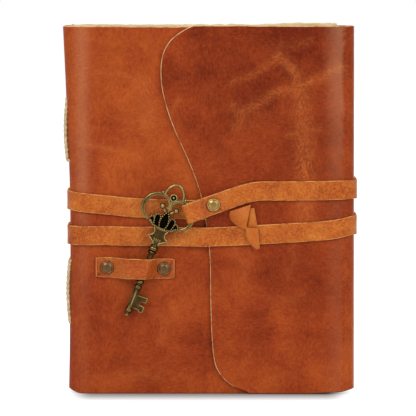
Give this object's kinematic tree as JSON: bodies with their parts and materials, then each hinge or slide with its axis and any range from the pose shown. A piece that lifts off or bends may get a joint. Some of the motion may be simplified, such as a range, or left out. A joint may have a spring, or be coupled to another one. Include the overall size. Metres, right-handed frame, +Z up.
{
  "type": "leather wrap journal",
  "caption": "Soft leather wrap journal with sewn paper gatherings, an S-edged flap, a wound strap and a skeleton key that slides behind a riveted holder.",
  "frame": {"origin": "under the middle of the paper block, on the surface that the journal stands on", "axes": "+Z up along the spine, +X from the spine to the fore edge, -Y the front with the flap and key"},
  "size_m": [0.1612, 0.0396, 0.204],
  "materials": {
    "wrap_leather": "waxed pull-up hide",
    "strap_leather": "tan strap with raw edges",
    "holder_leather": "tan band with raw edges",
    "paper": "deckled handmade paper",
    "cord": "waxed cotton cord",
    "antique_bronze": "antiqued, rubbed bright on high spots",
    "dark_rivet": "antiqued",
    "bright_rivet": "brushed"
  },
  "bodies": {
    "book": {"spine_panel": "wrap_leather", "back_cover": "wrap_leather", "fore_edge_panel": "wrap_leather", "signature_1": "paper", "signature_2": "paper", "signature_3": "paper", "signature_4": "paper", "signature_5": "paper", "stitches_upper": "cord", "stitches_lower": "cord", "strap_first_pass": "strap_leather", "strap_second_pass": "strap_leather"},
    "cover": {"front_cover": "wrap_leather", "key_holder": "holder_leather", "holder_rivet_left": "dark_rivet", "holder_rivet_right": "dark_rivet", "strap_upper_left": "strap_leather", "strap_lower_left": "strap_leather"},
    "flap": {"flap": "wrap_leather", "strap_knot": "strap_leather", "strap_lower_front": "strap_leather", "strap_upper_front": "strap_leather"},
    "key": {"key": "antique_bronze"},
    "strap_end": {"strap_end": "strap_leather", "strap_rivet": "bright_rivet"}
  },
  "joints": [
    {"name": "cover_hinge", "type": "hinge", "parent": "book", "child": "cover", "pos_m": [-0.072, -0.01535, 0.1], "axis": [0, 0, -1], "range_deg": [0, 175]},
    {"name": "flap_hinge", "type": "hinge", "parent": "book", "child": "flap", "pos_m": [0.072, -0.01855, 0.1], "axis": [0, 0, 1], "range_deg": [0, 175]},
    {"name": "key_slide", "type": "slide", "parent": "cover", "child": "key", "axis": [0, 0, 1], "range_m": [0, 0.036]},
    {"name": "strap_end_slide", "type": "slide", "parent": "flap", "child": "strap_end", "axis": [0, 0, 1], "range_m": [0, 0.036]}
  ],
  "couplings": [
    {"joint": "strap_end_slide", "follows": "key_slide", "ratio": 1}
  ]
}
